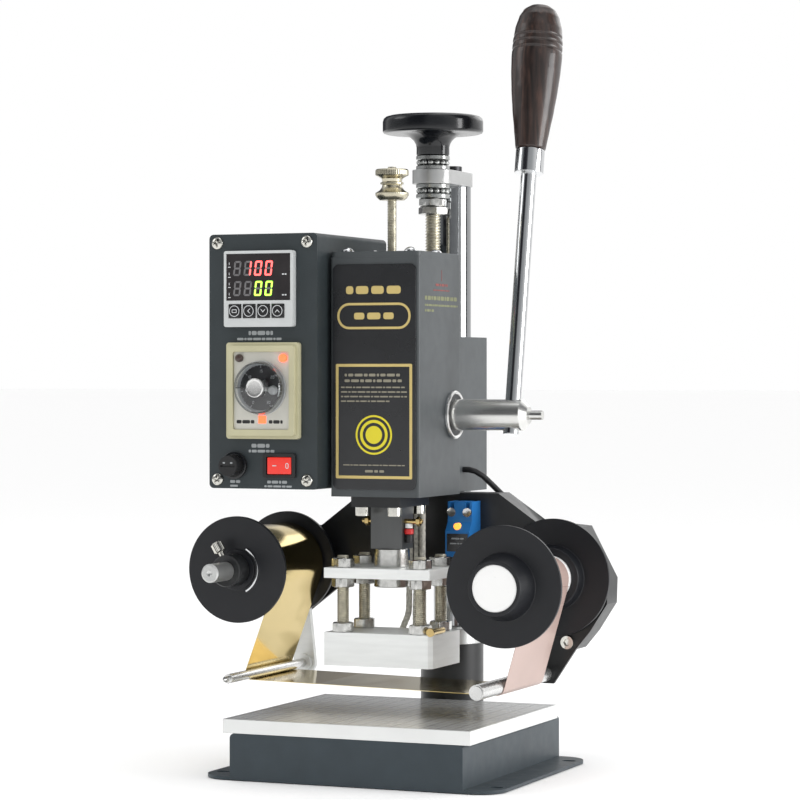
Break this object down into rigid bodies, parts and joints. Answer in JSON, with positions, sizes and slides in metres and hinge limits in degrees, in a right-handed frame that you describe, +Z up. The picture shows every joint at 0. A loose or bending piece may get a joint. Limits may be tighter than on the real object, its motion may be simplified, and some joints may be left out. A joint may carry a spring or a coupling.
{
  "type": "hot foil stamper",
  "caption": "Bench-top hot foil stamper: lever-driven heated ram on a height-adjustable head with control box, foil feeder and work table on a column stand.",
  "frame": {"origin": "middle of the underside of the base box", "axes": "+X to the operator's right, +Y away from the operator, +Z up along the column"},
  "size_m": [0.2552, 0.203, 0.4927],
  "materials": {
    "casing_grey": "satin powder coat, dark grey",
    "box_grey": "satin powder coat, dark slate grey",
    "base_slate": "fine textured powder coat, slate grey",
    "black_metal": "satin black",
    "ram_steel": "dark ground steel",
    "table_alu": "fine satin, near white",
    "plate_alu": "bright machined",
    "block_alu": "bright machined",
    "chrome": "polished",
    "nickel": "polished nickel",
    "shaft_steel": "ground and polished",
    "zinc_steel": "zinc plated thread",
    "bearing_steel": "turned",
    "dark_steel": "black oxide",
    "spring_steel": "bright wire",
    "bronze": "sintered bronze",
    "knob_nickel": "knurled, nickel plated brass",
    "black_gloss": "gloss moulded",
    "black_plastic": "fine moulded",
    "label_black": "gloss enamel plate with gold lines",
    "bezel_grey": "fine moulded, light grey",
    "timer_cream": "fine moulded, cream",
    "dial_clear": "clear dome over a printed scale",
    "relay_white": "moulded",
    "sensor_blue": "moulded, blue",
    "rod_chrome": "polished",
    "cable_black": "smooth jacket",
    "foil_gold": "metallised film, mirror gold",
    "heater_steel": "sheathed elements",
    "lead_sleeve": "braided glass sleeve",
    "grip_wood": "dark stained, lacquered",
    "disc_charcoal": "fine moulded, charcoal",
    "core_white": "moulded, white",
    "rocker_red": "translucent red"
  },
  "bodies": {
    "stand": {"base_frame": "base_slate", "base_plate": "base_slate", "work_table": "table_alu", "stand_screws": "dark_steel", "column_socket": "black_metal", "column_collar": "bearing_steel", "column": "chrome", "top_bracket": "bearing_steel", "screw_bearings": "bearing_steel"},
    "handwheel": {"handwheel": "black_gloss", "lift_screw": "zinc_steel"},
    "head": {"head_casing": "casing_grey", "head_cover": "casing_grey", "head_screws": "nickel", "label_plate": "label_black", "rear_block": "casing_grey", "bushes": "bronze", "lift_nut": "bronze", "guide_flange": "black_metal", "ram_guide": "bronze", "return_spring": "spring_steel", "control_box": "box_grey", "control_panel": "box_grey", "panel_screws": "nickel", "temp_controller": "bezel_grey", "timer": "timer_cream", "panel_fittings": "black_plastic", "relay": "relay_white", "cable_gland": "black_plastic", "feeder_plate": "black_metal", "photo_sensor": "sensor_blue", "guide_rods": "rod_chrome", "gear_motor": "bearing_steel", "motor_cable": "cable_black", "foil_runs": "foil_gold"},
    "foil_loop": {"foil_span": "foil_gold"},
    "ram": {"ram_bar": "ram_steel", "stop_rod": "zinc_steel", "upper_plate": "plate_alu", "studs": "zinc_steel", "ram_nuts": "nickel", "heating_block": "block_alu", "heater_elements": "heater_steel", "heater_leads": "lead_sleeve"},
    "stop_knob": {"stop_knob": "knob_nickel"},
    "lever": {"pinion_shaft": "shaft_steel", "lever_rod": "chrome", "lever_grip": "grip_wood"},
    "supply_roll": {"supply_discs": "disc_charcoal", "supply_spindle": "shaft_steel", "supply_foil": "foil_gold"},
    "takeup_roll": {"takeup_discs": "black_metal", "takeup_core": "core_white"},
    "key_mode": {"key_mode": "black_plastic"},
    "key_shift": {"key_shift": "black_plastic"},
    "key_down": {"key_down": "black_plastic"},
    "key_up": {"key_up": "black_plastic"},
    "timer_dial": {"timer_knob": "dial_clear"},
    "fuse_cap": {"fuse_cap": "black_plastic"},
    "rocker": {"rocker": "rocker_red"}
  },
  "joints": [
    {"name": "handwheel_turn", "type": "hinge", "parent": "stand", "child": "handwheel", "pos_m": [0, 0.058, 0.4], "axis": [0, 0, -1], "range_deg": [0, 7201]},
    {"name": "head_lift", "type": "slide", "parent": "stand", "child": "head", "axis": [0, 0, 1], "range_m": [0, 0.04]},
    {"name": "lever_swing", "type": "hinge", "parent": "head", "child": "lever", "pos_m": [0, 0.0172, 0.2266], "axis": [1, 0, 0], "range_deg": [0, 107], "stiffness_Nm_per_rad": 0.4, "springref_deg": -57.3},
    {"name": "ram_slide", "type": "slide", "parent": "head", "child": "ram", "axis": [0, 0, -1], "range_m": [0, 0.0285], "deforming": ["return_spring"]},
    {"name": "foil_dip", "type": "slide", "parent": "head", "child": "foil_loop", "axis": [0, 0, -1], "range_m": [0, 0.0175]},
    {"name": "stop_knob_turn", "type": "hinge", "parent": "ram", "child": "stop_knob", "pos_m": [0, -0.0108, 0.373], "axis": [0, 0, 1], "range_deg": [-180, 180]},
    {"name": "supply_spin", "type": "hinge", "parent": "head", "child": "supply_roll", "pos_m": [-0.093, 0, 0.128], "axis": [0, 1, 0], "continuous": true},
    {"name": "takeup_spin", "type": "hinge", "parent": "head", "child": "takeup_roll", "pos_m": [0.0905, 0, 0.1225], "axis": [0, 1, 0], "continuous": true},
    {"name": "key_mode_press", "type": "slide", "parent": "head", "child": "key_mode", "axis": [0, 1, 0], "range_m": [0, 0.0008], "stiffness_N_per_m": 200, "springref_m": -0.0005},
    {"name": "key_shift_press", "type": "slide", "parent": "head", "child": "key_shift", "axis": [0, 1, 0], "range_m": [0, 0.0008], "stiffness_N_per_m": 200, "springref_m": -0.0005},
    {"name": "key_down_press", "type": "slide", "parent": "head", "child": "key_down", "axis": [0, 1, 0], "range_m": [0, 0.0008], "stiffness_N_per_m": 200, "springref_m": -0.0005},
    {"name": "key_up_press", "type": "slide", "parent": "head", "child": "key_up", "axis": [0, 1, 0], "range_m": [0, 0.0008], "stiffness_N_per_m": 200, "springref_m": -0.0005},
    {"name": "timer_dial_turn", "type": "hinge", "parent": "head", "child": "timer_dial", "pos_m": [-0.0686, -0.06, 0.244], "axis": [0, 1, 0], "range_deg": [0, 300]},
    {"name": "fuse_cap_turn", "type": "hinge", "parent": "head", "child": "fuse_cap", "pos_m": [-0.0892, -0.06, 0.1948], "axis": [0, 1, 0], "range_deg": [0, 90]},
    {"name": "rocker_tilt", "type": "hinge", "parent": "head", "child": "rocker", "pos_m": [-0.058, -0.0509, 0.195], "axis": [0, 0, 1], "range_deg": [-14, 0]}
  ],
  "couplings": [
    {"joint": "handwheel_turn", "follows": "head_lift", "rad_per_m": 3141.6},
    {"joint": "ram_slide", "follows": "lever_swing", "m_per_rad": 0.015},
    {"joint": "foil_dip", "follows": "lever_swing", "m_per_rad": 0.00912}
  ]
}
